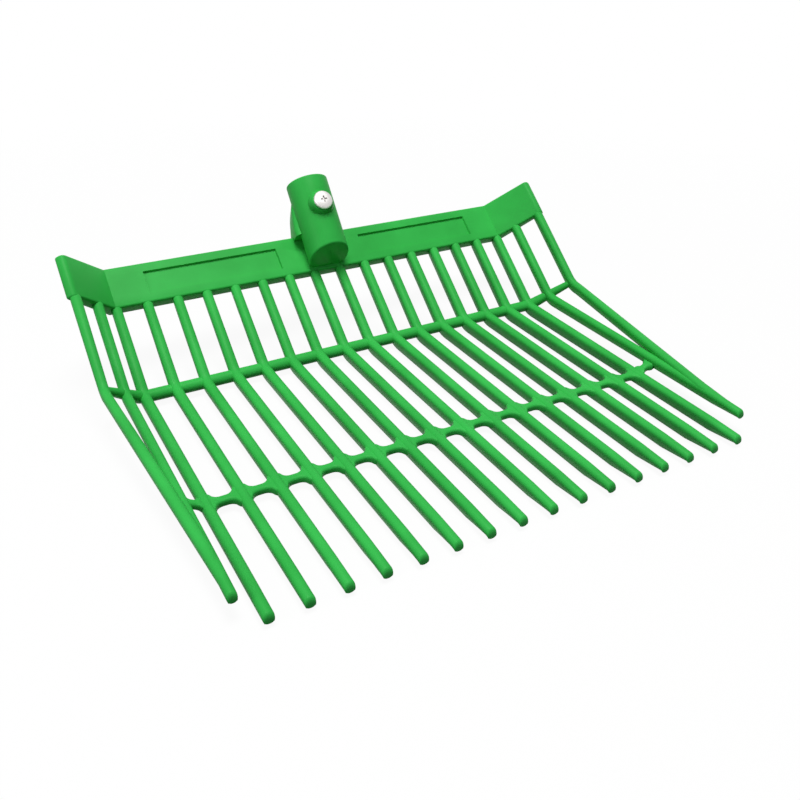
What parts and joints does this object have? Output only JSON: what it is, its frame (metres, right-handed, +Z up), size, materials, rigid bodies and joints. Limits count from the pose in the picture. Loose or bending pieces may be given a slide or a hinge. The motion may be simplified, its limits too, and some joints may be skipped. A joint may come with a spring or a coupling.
{
  "type": "stall fork head",
  "caption": "Moulded stall fork head: a row of bent tines tied by two crossbars under a header with folded wings, and a leaning handle socket with its screw and nut.",
  "frame": {"origin": "middle of the head's box, on the plane that the undersides of the long tines rest on", "axes": "+X to the right along the row of tines, +Y back from the tips towards the header and the handle, +Z up from the resting plane"},
  "size_m": [0.3966, 0.329, 0.1224],
  "materials": {
    "green_plastic": "satin moulded",
    "zinc_steel": "bright zinc plated"
  },
  "bodies": {
    "head": {"crossbar_lower": "green_plastic", "crossbar_upper": "green_plastic", "header_beam": "green_plastic", "socket": "green_plastic", "wing_left": "green_plastic", "wing_right": "green_plastic", "tine_01": "green_plastic", "tine_02": "green_plastic", "tine_03": "green_plastic", "tine_04": "green_plastic", "tine_05": "green_plastic", "tine_06": "green_plastic", "tine_07": "green_plastic", "tine_08": "green_plastic", "tine_09": "green_plastic", "tine_10": "green_plastic", "tine_11": "green_plastic", "tine_12": "green_plastic", "tine_13": "green_plastic", "tine_14": "green_plastic", "tine_15": "green_plastic", "tine_16": "green_plastic", "tine_17": "green_plastic", "tine_18": "green_plastic", "tine_19": "green_plastic", "tine_20": "green_plastic"},
    "screw": {"screw": "zinc_steel"},
    "nut": {"nut": "zinc_steel"}
  },
  "joints": [
    {"name": "screw_slide", "type": "slide", "parent": "head", "child": "screw", "axis": [0, -0.766, 0.6428], "range_m": [0, 0.044]},
    {"name": "nut_slide", "type": "slide", "parent": "head", "child": "nut", "axis": [0, 0.766, -0.6428], "range_m": [0, 0.012]}
  ]
}
